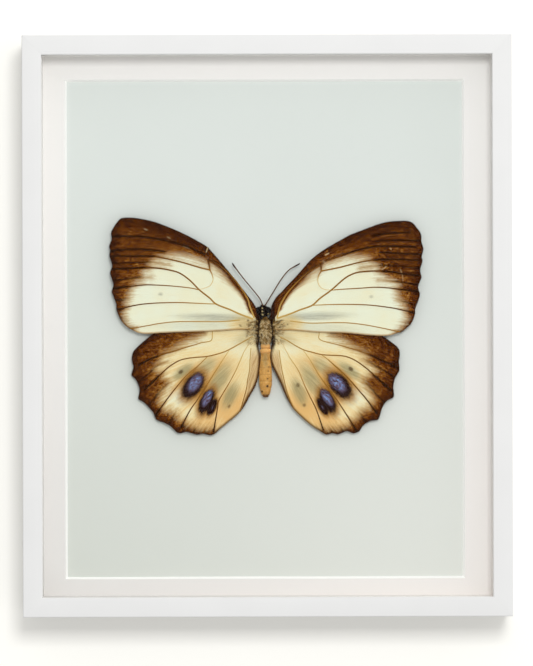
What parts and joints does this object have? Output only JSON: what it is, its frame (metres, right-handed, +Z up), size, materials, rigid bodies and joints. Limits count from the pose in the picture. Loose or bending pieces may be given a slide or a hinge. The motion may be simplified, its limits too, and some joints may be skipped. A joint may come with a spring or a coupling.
{
  "type": "framed butterfly specimen",
  "caption": "Spread butterfly with brown, cream and ochre wings and blue eyespots, fixed to a pale sheet behind glass and a window mat in a square white wood frame.",
  "frame": {"origin": "middle of the top rail's back face, where it lies against the wall", "axes": "+Z up, +Y out of the back into the wall, so the front faces -Y; +X to the right as seen from the front"},
  "size_m": [0.146, 0.022, 0.1735],
  "materials": {
    "frame_paint": "white satin paint over wood",
    "glass": "clear polished",
    "mat_card": "matt white card",
    "sheet_paper": "matt pale grey-green paper",
    "foam_board": "white foam board",
    "hardboard": "brown hardboard",
    "steel": "zinc-plated",
    "wing_scales": "matt scales, cream, ochre and dark brown with blue eyespots",
    "body_fur": "short tan and grey hair",
    "abdomen_scales": "ochre scales",
    "dark_chitin": "black, slightly glossy"
  },
  "bodies": {
    "root": {"frame_rail_top": "frame_paint", "frame_rail_right": "frame_paint", "frame_rail_bottom": "frame_paint", "frame_rail_left": "frame_paint", "spacer_top": "mat_card", "spacer_right": "mat_card", "spacer_bottom": "mat_card", "spacer_left": "mat_card", "glazing": "glass", "mat": "mat_card", "backing_sheet": "sheet_paper", "mount_board": "foam_board", "back_panel": "hardboard", "hanger": "steel", "hanger_rivet_left": "steel", "hanger_rivet_right": "steel", "retaining_point_1": "steel", "retaining_point_2": "steel", "retaining_point_3": "steel", "retaining_point_4": "steel", "retaining_point_5": "steel", "retaining_point_6": "steel", "retaining_point_7": "steel", "retaining_point_8": "steel", "forewing_left": "wing_scales", "forewing_right": "wing_scales", "hindwing_left": "wing_scales", "hindwing_right": "wing_scales", "head": "dark_chitin", "thorax": "body_fur", "abdomen": "abdomen_scales", "antenna_left": "dark_chitin", "antenna_right": "dark_chitin", "pin": "steel"}
  },
  "joints": []
}
